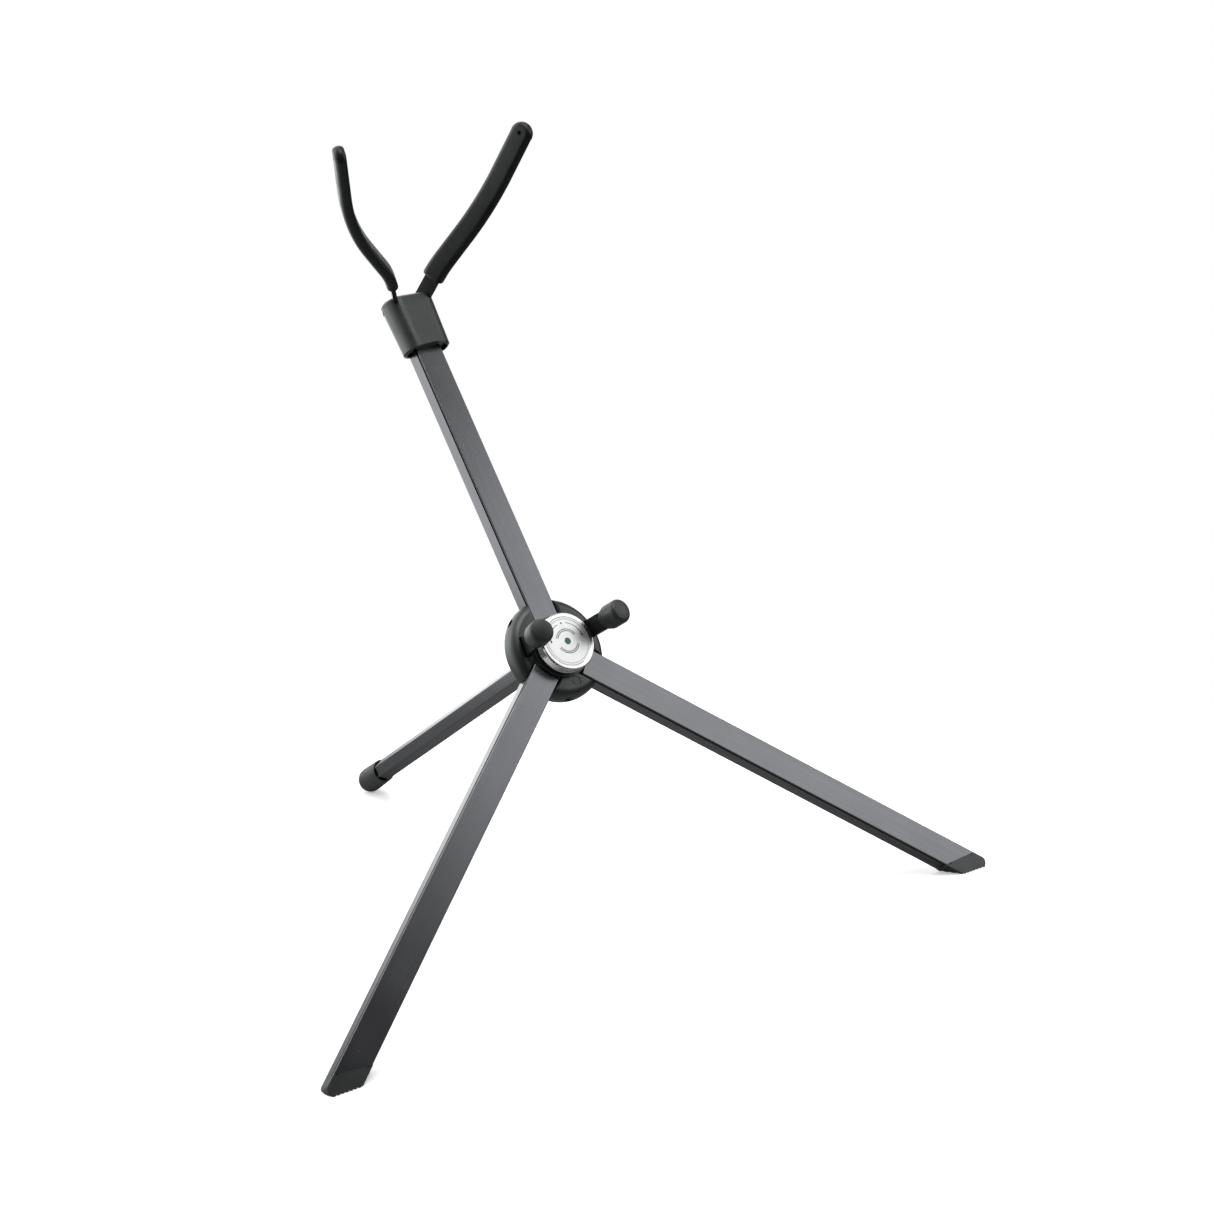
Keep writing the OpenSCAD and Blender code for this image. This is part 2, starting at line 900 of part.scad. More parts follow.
// Block of the tube's section, proud of the tube on its inner edge, with a rounded outer tip that
// meets the sole smoothly.
module foot_outline() {
    from = mitre_from - 2;
    tip_x = leg_reach + (tube_w - foot_round) * tan(leg_spread) - foot_round / cos(leg_spread);
    length = tip_x - from;
    inner = tube_w / 2 + foot_proud;
    intersection() {
        translate([from, -foot_proud / 2, pin_z])
            along_x(length + tube_w)
                round_rect(tube_w + foot_proud, tube_t, tube_round);
        translate([0, 0, -tube_t - through])
            linear_extrude(tube_t + 2 * through) {
                translate([from, -inner])
                    square([length, inner + tube_w / 2]);
                translate([from, -inner])
                    square([length + foot_round, inner + tube_w / 2 - foot_round]);
                translate([tip_x, tube_w / 2 - foot_round])
                    circle(foot_round);
            }
    }
}

// Small round notches at both ends of the joint between tube and foot.
module foot_notches() {
    notch_r = 0.9;
    for (y = [-1, 1] * (tube_w / 2 - 2.4))
        translate([mitre_from + tube_w / 2 + y + notch_r, y, -0.6])
            cylinder(h = 1, r = notch_r);
}

// Grooves across the sole, from front to back.
module sole_grooves(side) {
    groove = 1.2;
    deep = 0.5;
    inner_x = leg_reach * sin(leg_spread) - tube_w / 2 * cos(leg_spread);
    for (i = [-3:6])
        translate([side * (inner_x + i * rib_pitch) - groove / 2, -2 * hub_height, -through])
            cube([groove, 2 * hub_height, deep + through]);
}

module left_leg_tube() { leg_tube(-1); }
module right_leg_tube() { leg_tube(1); }
module left_leg_hinge_block() { at_leg(-1) hinge_block(); }
module right_leg_hinge_block() { at_leg(1) hinge_block(); }
module left_leg_foot() { leg_foot(-1); }
module right_leg_foot() { leg_foot(1); }

// ---- Nodes -----------------------------------------------------------------------------------

hub_body();
knob_spindle();
rear_leg_tube();
rear_leg_plug();
rear_leg_cap();
arm_pin();
left_leg_pin();
right_leg_pin();
left_peg();
right_peg();
left_peg_cap();
right_peg_cap();
peg_rivets();
clamp_plate();
thrust_washer();
knob();
knob_disc();
knob_insert();
arm_tube();
arm_hinge_block();
yoke_block();
yoke_screw();
left_prong_pin();
right_prong_pin();
left_prong();
right_prong();
left_prong_sleeve();
right_prong_sleeve();
left_leg_tube();
right_leg_tube();
left_leg_hinge_block();
right_leg_hinge_block();
left_leg_foot();
right_leg_foot();
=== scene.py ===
"""Studio scene of a folding saxophone stand, built around its CAD frame.

The CAD nodes whose shape is right stay and get their materials here. The soft sleeves, the rubber
caps and the knurled knob are replaced with finer meshes, made in the CAD's own local frames.
"""
import json
import math

import bmesh
import bpy
from mathutils import Matrix, Quaternion, Vector


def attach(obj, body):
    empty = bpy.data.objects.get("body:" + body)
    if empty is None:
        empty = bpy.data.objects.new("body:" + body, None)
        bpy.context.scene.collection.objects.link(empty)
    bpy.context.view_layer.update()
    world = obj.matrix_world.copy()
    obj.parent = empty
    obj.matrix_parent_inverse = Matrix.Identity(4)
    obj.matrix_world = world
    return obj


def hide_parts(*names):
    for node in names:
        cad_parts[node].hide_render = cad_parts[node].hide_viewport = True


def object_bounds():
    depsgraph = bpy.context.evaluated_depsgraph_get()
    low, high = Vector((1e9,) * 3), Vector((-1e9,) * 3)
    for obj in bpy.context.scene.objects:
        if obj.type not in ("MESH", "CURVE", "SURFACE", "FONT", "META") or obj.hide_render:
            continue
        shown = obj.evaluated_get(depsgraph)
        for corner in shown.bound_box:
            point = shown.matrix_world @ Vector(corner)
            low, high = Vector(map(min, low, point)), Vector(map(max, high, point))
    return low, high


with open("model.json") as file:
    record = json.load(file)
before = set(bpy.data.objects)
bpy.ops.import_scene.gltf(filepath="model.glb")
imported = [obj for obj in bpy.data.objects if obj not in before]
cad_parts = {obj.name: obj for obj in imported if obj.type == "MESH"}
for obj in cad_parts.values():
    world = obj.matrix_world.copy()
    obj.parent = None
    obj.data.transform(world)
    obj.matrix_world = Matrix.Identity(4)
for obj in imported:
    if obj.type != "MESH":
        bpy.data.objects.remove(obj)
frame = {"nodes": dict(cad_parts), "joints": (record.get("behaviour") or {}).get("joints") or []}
cad_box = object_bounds()

MM = 0.001

# Sizes shared with the CAD, in millimetres and degrees. Peg positions are in the hub's frame.
HUB_LEAN = 36.6
LEG_SPREAD = 49.0
ARM_LEAN = 4.0
PRONG_TOE = 29.0
PRONG_TILT = 7.0
PRONG_LEAN = 61.7
PRONG_BASE = 23.1
PRONG_MIDDLE = 20.3
PRONG_TIP = 39.5
OUT_RADIUS, OUT_ANGLE = 43.4, 21.2
BACK_RADIUS, BACK_ANGLE = 112.5, 25.8
SLEEVE_FROM = 22.5
SLEEVE_W, SLEEVE_T = 16.4, 8.0
BAR_W, BAR_T = 11.0, 3.0
TIP_HOLE_BACK, TIP_HOLE_R = 7.5, 1.5
PEG_X, PEG_U, PEG_BEND, PEG_TIP, PEG_SPLAY = 24.8, 6.0, -2.0, 37.5, 12.0
PEG_CAP_LEN, PEG_CAP_R = 17.0, 8.6
REAR_CAP_R, REAR_CAP_SIDE, REAR_RIM_R = 9.2, 23.0, 8.7
KNOB_R, KNOB_FROM, KNOB_TOP, KNOB_BOSS = 20.4, 4.5, 12.0, 1.3
DISC_R = 17.0

# Details that only the looks have, in millimetres.
GROOVE_SHADE_FROM, GROOVE_SHADE_TO = 0.5, 2.2  # painted shade: the groove's shadow as a black band along a tube, behind its front face
SLEEVE_CORNER = 3.7
SLEEVE_RIM, RIM_DROP_W, RIM_DROP_T = 2.2, 2.4, 2.2  # its length, what it takes off W and T
SLEEVE_SWELL, SLEEVE_SWELL_LENGTH = 0.35, 9.0
PEG_RIM_R = 7.4
KNURL_TEETH, KNURL_ROWS = 60, 6
KNURL_DEPTH, KNURL_EDGE_DROP = 0.6, 0.12
PRINT_LOW, PRINT_HIGH = KNOB_TOP - 0.01, KNOB_TOP + 0.02
ARROW_R = 12.9  # arrows and index dot

# Slight colour casts of the black and the grey finishes.
BLACK_CAST = (0.94, 1.02, 1.00)
METAL_CAST = (0.975, 0.995, 1.05)

# Camera, set at the viewing angle of the reference picture. Degrees, metres and millimetres of
# focal length.
CAMERA_AZIMUTH = 37.5
CAMERA_ELEVATION = 19.66
CAMERA_ROLL = 0.13
CAMERA_DISTANCE = 1.942
CAMERA_LENS = 85.78
LOOK_AT_OFFSET = Vector((0.0309, -0.0123, 0.0253))  # from the centre of the hub's face

# Floor in metres, and brightness of the studio on its dark and its bright side.
FLOOR_RADIUS, FLOOR_BELOW = 4.0, 0.0002
FLOOR_FADE_FROM, FLOOR_FADE_TO = 0.36, 0.66
WORLD_DARK, WORLD_BRIGHT = 0.06, 2.2
WORLD_BRIGHT_SIDE = (-0.35, 0.90, 0.05)


# ---- Frames ------------------------------------------------------------------------------------

def turn(angle, axis):
    """Rotation by an angle in degrees."""
    return Matrix.Rotation(math.radians(angle), 4, axis)


def move(x, y, z):
    """Shift by a distance in millimetres."""
    return Matrix.Translation(Vector((x, y, z)) * MM)


JOINTS = {joint["name"]: joint for joint in frame["joints"]}
RIGHT = Vector((1, 0, 0))
HUB_AXIS = Vector(JOINTS["knob_turn"]["axis"]).normalized()
HUB_CENTRE = Vector(JOINTS["clamp_lift"]["pos_m"])
HUB = Matrix.Translation(HUB_CENTRE) @ Matrix(
    (RIGHT, HUB_AXIS.cross(RIGHT), HUB_AXIS)).transposed().to_4x4()
REAR = HUB @ turn(180, "X")
ARM = HUB @ turn(-ARM_LEAN, "X")
SIDES = {"left": -1, "right": 1}


def on_side(side):
    """Mirrors the right-hand frame for the left-hand side."""
    return Matrix.Diagonal((side, 1, 1, 1))


def prong_frame(side):
    """X outward along the prong's pin, Y along the prong's straight base."""
    pin = ARM.inverted() @ Vector(JOINTS["right_prong_fold"]["pos_m"])
    return (ARM @ on_side(side) @ Matrix.Translation(pin) @ turn(PRONG_TOE, "Y")
            @ turn(PRONG_TILT, "Z") @ turn(PRONG_LEAN, "X"))


def peg_frame(side):
    """Z along the splayed part of a peg, from its bend."""
    return HUB @ on_side(side) @ move(PEG_X, PEG_U, PEG_BEND) @ turn(PEG_SPLAY, "Y")


# ---- Mesh helpers ------------------------------------------------------------------------------

def link_mesh(name, bm, matrix):
    """Object from a bmesh drawn in millimetres in a local frame."""
    mesh = bpy.data.meshes.new(name)
    bmesh.ops.recalc_face_normals(bm, faces=bm.faces)
    bm.to_mesh(mesh)
    bm.free()
    mesh.transform(matrix @ Matrix.Scale(MM, 4))
    if matrix.determinant() < 0:
        mesh.flip_normals()
    obj = bpy.data.objects.new(name, mesh)
    bpy.context.scene.collection.objects.link(obj)
    return obj


def new_object(name, bm, matrix, material, body, sharp=40):
    """Visible piece that rides on one of the frame's bodies."""
    obj = link_mesh(name, bm, matrix)
    obj.data.shade_smooth()
    obj.data.set_sharp_from_angle(angle=math.radians(sharp))
    obj.data.materials.append(material)
    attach(obj, body)
    return obj


def arc(cx, cy, radius, start, end, steps):
    """Points along an arc, angles in degrees."""
    angles = [math.radians(start + (end - start) * i / steps) for i in range(steps + 1)]
    return [(cx + radius * math.cos(a), cy + radius * math.sin(a)) for a in angles]


def circle(bm, radius, z, count):
    """Ring of vertices around Z."""
    angles = [2 * math.pi * i / count for i in range(count)]
    return [bm.verts.new((radius * math.cos(a), radius * math.sin(a), z)) for a in angles]


def bridge(bm, rings):
    """Quads between consecutive rings of vertices."""
    for low, high in zip(rings, rings[1:]):
        for i in range(len(low)):
            j = (i + 1) % len(low)
            bm.faces.new((low[i], low[j], high[j], high[i]))


def cap_ring(bm, ring, point):
    """Fan from a ring of vertices to one point."""
    tip = bm.verts.new(point)
    for i, vertex in enumerate(ring):
        bm.faces.new((vertex, ring[(i + 1) % len(ring)], tip))


def lathe(profile, segments=96):
    """Closed surface of revolution about Z. The (radius, height) points start and end on it."""
    bm = bmesh.new()
    rings = [circle(bm, r, z, segments) for r, z in profile[1:-1]]
    bridge(bm, rings)
    cap_ring(bm, rings[0], (0, 0, profile[0][1]))
    cap_ring(bm, rings[-1], (0, 0, profile[-1][1]))
    return bm


# ---- Materials ---------------------------------------------------------------------------------

class Shader:
    """Short names for building a node material. Lengths in it are in metres."""

    def __init__(self, name):
        self.material = bpy.data.materials.new(name)
        self.material.use_nodes = True
        self.nodes = self.material.node_tree.nodes
        self.links = self.material.node_tree.links
        self.bsdf = self.nodes["Principled BSDF"]
        self.coords = self.nodes.new("ShaderNodeTexCoord").outputs["Object"]

    def feed(self, socket, value):
        """Links an output to a socket, or sets the socket's value."""
        if isinstance(value, bpy.types.NodeSocket):
            self.links.new(value, socket)
        else:
            socket.default_value = value

    def node(self, kind, inputs=None, **settings):
        made = self.nodes.new("ShaderNode" + kind)
        for key, value in settings.items():
            setattr(made, key, value)
        for key, value in (inputs or {}).items():
            self.feed(made.inputs[key], value)
        return made

    def noise(self, scale, detail=3.0, roughness=0.55, coords=None):
        made = self.node("TexNoise", {"Vector": coords or self.coords, "Scale": scale,
                                      "Detail": detail, "Roughness": roughness})
        return made.outputs["Fac"]

    def spread(self, value, low, high, out_low, out_high):
        made = self.node("MapRange", {"Value": value, "From Min": low, "From Max": high,
                                      "To Min": out_low, "To Max": out_high})
        return made.outputs["Result"]

    def vary(self, noise, low=0.0, high=1.0):
        """Stretches the usual range of a noise to new limits."""
        return self.spread(noise, 0.3, 0.7, low, high)

    def mix(self, factor, first, second):
        made = self.node("Mix", {"Factor": factor}, data_type="RGBA")
        self.feed(made.inputs[6], first)
        self.feed(made.inputs[7], second)
        return made.outputs[2]

    def set(self, **inputs):
        for key, value in inputs.items():
            self.feed(self.bsdf.inputs[key.replace("_", " ")], value)

    def bump(self, height, distance):
        made = self.node("Bump", {"Height": height, "Distance": distance, "Strength": 1.0})
        self.links.new(made.outputs["Normal"], self.bsdf.inputs["Normal"])


def grey(value, tint=(1.0, 1.0, 1.0)):
    return (value * tint[0], value * tint[1], value * tint[2], 1.0)


def moulded_plastic(name, dark, light, rough, grain):
    """Matte black plastic with a fine spark-eroded grain."""
    s = Shader(name)
    cloud = s.noise(90.0, 4.0)
    grains = s.noise(1500.0, 3.0, 0.7)
    s.set(Base_Color=s.mix(s.spread(grains, 0.35, 0.65, 0, 1), grey(dark, BLACK_CAST),
                           grey(light, BLACK_CAST)),
          Roughness=s.vary(cloud, rough - 0.05, rough + 0.05),
          Specular_IOR_Level=0.6, Specular_Tint=grey(1.0, BLACK_CAST))
    s.bump(grains, grain)
    return s.material


def soft_rubber(name, dark, light, rough, gloss=0.5):
    """Black rubber with a bloomed, slightly uneven surface."""
    s = Shader(name)
    bloom = s.noise(160.0, 5.0, 0.6)
    fine = s.noise(3200.0, 2.0)
    s.set(Base_Color=s.mix(s.vary(bloom), grey(dark, BLACK_CAST), grey(light, BLACK_CAST)),
          Roughness=s.vary(bloom, rough - 0.06, rough + 0.08),
          Specular_IOR_Level=gloss, Specular_Tint=grey(1.0, BLACK_CAST))
    s.bump(fine, 0.00002)
    return s.material


def painted_steel(name):
    """Satin black paint with a faint orange peel."""
    s = Shader(name)
    peel = s.noise(700.0, 2.0)
    s.set(Base_Color=grey(0.006), Roughness=s.vary(peel, 0.34, 0.42),
          Specular_IOR_Level=0.3)
    s.bump(peel, 0.00002)
    return s.material


def anodised(name, along, front=None):
    """Grey anodised aluminium, brushed along one direction. With the frame of a tube's front face,
    the tube gets painted shade along its groove, behind that face: a black band for its shadow."""
    s = Shader(name)
    across = along.orthogonal().normalized()
    third = along.cross(across)
    parts = []
    for direction, scale in ((along, 6.0), (across, 900.0), (third, 900.0)):
        dot = s.node("VectorMath", {0: s.coords, 1: direction * scale}, operation="DOT_PRODUCT")
        parts.append(dot.outputs["Value"])
    streaks = s.node("CombineXYZ", {"X": parts[0], "Y": parts[1], "Z": parts[2]}).outputs[0]
    brush = s.noise(1.0, 3.0, 0.6, coords=streaks)
    haze = s.noise(24.0, 3.0)
    colour = s.mix(s.vary(brush), grey(0.122, METAL_CAST),
                   grey(0.138, METAL_CAST))
    metallic = 1.0
    if front:
        normal = front.to_3x3() @ Vector((0, 0, 1))
        height = s.node("VectorMath", {0: s.coords, 1: normal}, operation="DOT_PRODUCT")
        middle = (GROOVE_SHADE_FROM + GROOVE_SHADE_TO) / 2 * MM
        half = (GROOVE_SHADE_TO - GROOVE_SHADE_FROM) / 2 * MM
        # Painted shade: inside the band the groove's shadow is painted matt black, with no metal
        # and no specular.
        groove_shade = s.node("Math", {0: height.outputs["Value"],
                                 1: normal.dot(front.translation) - middle, 2: half},
                        operation="COMPARE").outputs[0]
        colour = s.mix(groove_shade, colour, grey(0.008))
        metallic = s.spread(groove_shade, 0.0, 1.0, 1.0, 0.0)
        s.set(Specular_IOR_Level=s.spread(groove_shade, 0.0, 1.0, 0.5, 0.0))
    s.set(Base_Color=colour, Metallic=metallic,
          Roughness=s.vary(haze, 0.24, 0.29))
    s.bump(brush, 0.0000005)
    return s.material


def bright_metal(name, colour, rough):
    """Turned or plated metal with fine marks."""
    s = Shader(name)
    marks = s.noise(500.0, 4.0)
    s.set(Base_Color=colour, Metallic=1.0,
          Roughness=s.vary(marks, rough - 0.05, rough + 0.07))
    s.bump(marks, 0.000008)
    return s.material


def printed(name, colour, rough=0.35, metallic=0.0):
    """Lacquered disc or printing ink."""
    s = Shader(name)
    cloud = s.noise(240.0, 3.0)
    darker = tuple(c * 0.94 for c in colour[:3]) + (1.0,)
    s.set(Base_Color=s.mix(s.spread(cloud, 0.35, 0.65, 0, 1), darker, colour),
          Metallic=metallic, Roughness=s.vary(cloud, rough - 0.04, rough + 0.04))
    return s.material


plastic = moulded_plastic("black_plastic", dark=0.006, light=0.018, rough=0.38, grain=0.00007)
foot_plastic = moulded_plastic("foot_plastic", dark=0.006, light=0.018, rough=0.38, grain=0.00006)
rubber = soft_rubber("black_rubber", dark=0.012, light=0.022, rough=0.46)
sleeve_rubber = soft_rubber("sleeve_rubber", dark=0.006, light=0.009, rough=0.40, gloss=0.3)
black_steel = painted_steel("black_steel")
zinc = bright_metal("zinc_steel", grey(0.62), rough=0.28)
chrome = bright_metal("knob_chrome", grey(0.52, (1.0, 1.0, 1.01)), rough=0.20)
brass = bright_metal("brass", (0.72, 0.52, 0.22, 1.0), rough=0.25)
disc_white = printed("disc_white", grey(0.62), rough=0.30, metallic=0.75)
teal_ink = printed("teal_ink", (0.003, 0.13, 0.12, 1.0))
grey_ink = printed("grey_ink", (0.15, 0.21, 0.24, 1.0))
black_ink = printed("black_ink", grey(0.012))

# The tubes are brushed along their length, which is up or down in the frames of arm and legs.
UP, DOWN = Vector((0, 1, 0)), Vector((0, -1, 0))
arm_metal = anodised("arm_metal", ARM.to_3x3() @ UP, ARM)
leg_metal = {}
for side_name, side in SIDES.items():
    along_leg = (HUB @ turn(side * LEG_SPREAD, "Z")).to_3x3() @ DOWN
    leg_metal[side_name] = anodised(side_name + "_leg_metal", along_leg, HUB)
rear_metal = anodised("rear_metal", HUB_AXIS)


# ---- CAD nodes that stay -----------------------------------------------------------------------

def finish_node(name, material, bevel):
    """Material, smooth shading and softened edges for a CAD node."""
    obj = frame["nodes"][name]
    obj.data.materials.clear()
    obj.data.materials.append(material)
    obj.data.shade_smooth()
    weld = obj.modifiers.new("weld", "WELD")
    weld.merge_threshold = 0.002 * MM
    if bevel:
        edges = obj.modifiers.new("edges", "BEVEL")
        edges.width = bevel * MM
        edges.segments = 3
        edges.limit_method = "ANGLE"
        edges.angle_limit = math.radians(35)
    smooth = obj.modifiers.new("normals", "WEIGHTED_NORMAL")
    smooth.keep_sharp = True
    smooth.weight = 60


for node_name, node_material, edge in (
        ("hub_body", plastic, 0.3),
        ("clamp_plate", plastic, 0.3),
        ("yoke_block", plastic, 0.25),
        ("left_leg_foot", foot_plastic, 0.2),
        ("right_leg_foot", foot_plastic, 0.2),
        ("rear_leg_plug", plastic, 0),
        ("arm_hinge_block", plastic, 0.2),
        ("left_leg_hinge_block", plastic, 0.2),
        ("right_leg_hinge_block", plastic, 0.2),
        ("left_peg", black_steel, 0.25),
        ("right_peg", black_steel, 0.25),
        ("left_prong", black_steel, 0.25),
        ("right_prong", black_steel, 0.25),
        ("yoke_screw", black_steel, 0.1),
        ("arm_tube", arm_metal, 0),
        ("left_leg_tube", leg_metal["left"], 0),
        ("right_leg_tube", leg_metal["right"], 0),
        ("rear_leg_tube", rear_metal, 0.6),
        ("knob_spindle", zinc, 0),
        ("thrust_washer", zinc, 0.1),
        ("arm_pin", zinc, 0.3),
        ("left_leg_pin", zinc, 0.3),
        ("right_leg_pin", zinc, 0.3),
        ("left_prong_pin", zinc, 0.3),
        ("right_prong_pin", zinc, 0.3),
        ("peg_rivets", zinc, 0),
        ("knob_insert", brass, 0.2),
        ("knob_disc", disc_white, 0.1)):
    finish_node(node_name, node_material, edge)


# ---- Prong sleeves -----------------------------------------------------------------------------

def prong_point(distance):
    """Point and direction angle on a prong's centre line, in its bending plane. The distance is
    measured from the pin. The angle is the outward lean from the straight base, in radians."""
    out, back = math.radians(OUT_ANGLE), math.radians(BACK_ANGLE)
    if distance <= PRONG_BASE:
        return 0.0, distance, 0.0
    distance -= PRONG_BASE
    if distance <= OUT_RADIUS * out:
        a = distance / OUT_RADIUS
        return OUT_RADIUS * (1 - math.cos(a)), PRONG_BASE + OUT_RADIUS * math.sin(a), a
    distance -= OUT_RADIUS * out
    x, y = OUT_RADIUS * (1 - math.cos(out)), PRONG_BASE + OUT_RADIUS * math.sin(out)
    step = min(distance, PRONG_MIDDLE)
    x, y = x + step * math.sin(out), y + step * math.cos(out)
    if distance <= PRONG_MIDDLE:
        return x, y, out
    distance -= PRONG_MIDDLE
    bend = min(distance, BACK_RADIUS * back) / BACK_RADIUS
    x += BACK_RADIUS * (math.cos(out - bend) - math.cos(out))
    y += BACK_RADIUS * (math.sin(out) - math.sin(out - bend))
    lean = out - bend
    rest = max(0.0, distance - BACK_RADIUS * back)
    return x + rest * math.sin(lean), y + rest * math.cos(lean), lean


PRONG_LENGTH = (PRONG_BASE + OUT_RADIUS * math.radians(OUT_ANGLE) + PRONG_MIDDLE
                + BACK_RADIUS * math.radians(BACK_ANGLE) + PRONG_TIP)


def section_ring(bm, distance, width, thick, corner):
    """Ring of a rounded rectangle across the prong's centre line."""
    x, y, lean = prong_point(distance)
    ring = []
    half_w, half_t = width / 2, thick / 2
    corner = min(corner, half_w, half_t)
    in_w, in_t = half_w - corner, half_t - corner
    for start, cx, cz in ((0, in_t, in_w), (90, -in_t, in_w), (180, -in_t, -in_w),
                          (270, in_t, -in_w)):
        for px, pz in arc(cx, cz, corner, start, start + 90, 11):
            ring.append(bm.verts.new((x + px * math.cos(lean), y - px * math.sin(lean), pz)))
    return ring


def sleeve_profile(distance):
    """Width and thickness of a sleeve at a distance from the pin: a rounded rim, a slightly fuller
    start and a round tip."""
    from_base = distance - SLEEVE_FROM
    from_tip = PRONG_LENGTH - distance
    width, thick = SLEEVE_W, SLEEVE_T
    if from_base < SLEEVE_RIM:
        drop = 1 - math.sqrt(1 - (1 - from_base / SLEEVE_RIM) ** 2)
        width -= RIM_DROP_W * drop
        thick -= RIM_DROP_T * drop
    else:
        fading = math.exp((SLEEVE_RIM - from_base) / SLEEVE_SWELL_LENGTH)
        steady = math.exp(-SLEEVE_RIM / SLEEVE_SWELL_LENGTH)
        width = min(SLEEVE_W, width + SLEEVE_SWELL * (fading - steady))
    half = SLEEVE_W / 2
    if from_tip < half:
        width = 2 * math.sqrt(max(0.0, half ** 2 - (half - from_tip) ** 2))
    nose = SLEEVE_T / 2
    if from_tip < nose:
        thick = 2 * math.sqrt(max(0.0, nose ** 2 - (nose - from_tip) ** 2))
    return width, thick


def sleeve_mesh():
    """Tube with a round tip. Its open end turns in to a socket around the bar."""
    bm = bmesh.new()
    rim_steps, straight_steps, tip_steps = 8, 150, 28
    straight_from = SLEEVE_FROM + SLEEVE_RIM
    straight_to = PRONG_LENGTH - SLEEVE_W / 2
    distances = [SLEEVE_FROM + SLEEVE_RIM * (i / rim_steps) ** 1.6 for i in range(rim_steps)]
    distances += [straight_from + (straight_to - straight_from) * i / straight_steps
                  for i in range(straight_steps)]
    distances += [straight_to + SLEEVE_W / 2 * math.sin(math.pi / 2 * i / tip_steps)
                  for i in range(tip_steps)]
    rings = [section_ring(bm, distance, *sleeve_profile(distance), SLEEVE_CORNER)
             for distance in distances]
    bridge(bm, rings)
    x, y, _ = prong_point(PRONG_LENGTH)
    cap_ring(bm, rings[-1], (x, y, 0))
    inner = section_ring(bm, SLEEVE_FROM, BAR_W + 0.5, BAR_T + 0.5, 0.6)
    deep = section_ring(bm, SLEEVE_FROM + 4, BAR_W + 0.3, BAR_T + 0.3, 0.5)
    bridge(bm, [rings[0], inner, deep])
    return bm


def drill_tip(sleeve, side):
    """Cuts the small hole near the tip of a sleeve."""
    x, y, lean = prong_point(PRONG_LENGTH - TIP_HOLE_BACK)
    place = prong_frame(side) @ move(x, y, 0) @ Matrix.Rotation(-lean, 4, "Z") @ turn(90, "Y")
    reach = SLEEVE_T
    drill = lathe([(0, -reach), (TIP_HOLE_R, -reach), (TIP_HOLE_R, reach), (0, reach)], 40)
    cutter = link_mesh(sleeve.name + "_hole", drill, place)
    cut = sleeve.modifiers.new("hole", "BOOLEAN")
    cut.object = cutter
    cut.solver = "EXACT"
    bpy.context.view_layer.update()
    graph = bpy.context.evaluated_depsgraph_get()
    carved = bpy.data.meshes.new_from_object(sleeve.evaluated_get(graph))
    sleeve.modifiers.clear()
    sleeve.data = carved
    bpy.data.objects.remove(cutter)


for side_name, side in SIDES.items():
    cover = new_object(side_name + "_prong_sleeve_cover", sleeve_mesh(), prong_frame(side),
                       sleeve_rubber, side_name + "_prong", sharp=50)
    drill_tip(cover, side)
    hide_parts(side_name + "_prong_sleeve")


# ---- Rubber caps -------------------------------------------------------------------------------

def peg_cap_profile():
    """Socket, rolled rim, short collar, bevel to the wide head and a softly domed end."""
    rim, head, length = PEG_RIM_R, PEG_CAP_R, PEG_CAP_LEN
    collar_end, bevel_end = 1.4, 4.0
    lip, edge, dome = 0.5, 3.4, 0.5
    points = [(0.0, 3.0), (6.4, 3.0), (6.6, 0.8)]
    points += arc(rim - lip, 0.55, lip, 200, 360, 8)
    points += [(rim, collar_end - 0.3), (rim + 0.06, collar_end)]
    for i in range(1, 9):
        t = i / 8
        ease = t * t * (3 - 2 * t)
        points.append((rim + (head - rim) * ease, collar_end + (bevel_end - collar_end) * t))
    points += [(head + 0.02, (bevel_end + length - 3.6) / 2)]
    points += arc(head - edge, length - dome - edge, edge, 0, 68, 16)
    edge_r, edge_z = points[-1]
    for i in range(1, 13):
        r = edge_r * (1 - i / 12)
        points.append((r, length - (length - edge_z) * (r / edge_r) ** 2))
    return points


def rear_cap_profile():
    """Socket, rim, flared side and a round end that rests on the floor."""
    side, rim, lip = REAR_CAP_SIDE, REAR_RIM_R, 0.55
    points = [(0.0, 2.5), (7.3, 2.5), (7.7, 0.8)]
    points += arc(rim - lip, 0.6, lip, 200, 360, 8)
    for i in range(1, 9):
        t = i / 8
        points.append((rim + (REAR_CAP_R - rim) * math.sin(t * math.pi / 2), side * t))
    points += arc(0, side, REAR_CAP_R, 0, 90, 28)[1:]
    return points


peg_length = (PEG_TIP - PEG_BEND) / math.cos(math.radians(PEG_SPLAY))
for side_name, side in SIDES.items():
    cap = new_object(side_name + "_peg_cap_cover", lathe(peg_cap_profile()),
                     peg_frame(side) @ move(0, 0, peg_length - PEG_CAP_LEN), rubber,
                     "hub")
    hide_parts(side_name + "_peg_cap")

rear_dome = (HUB_CENTRE.z / MM - REAR_CAP_R) / math.sin(math.radians(HUB_LEAN))
rear_cap = new_object("rear_leg_cap_cover", lathe(rear_cap_profile()),
                      REAR @ move(0, 0, rear_dome - REAR_CAP_SIDE), rubber, "hub")
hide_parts("rear_leg_cap")


# ---- Knob --------------------------------------------------------------------------------------

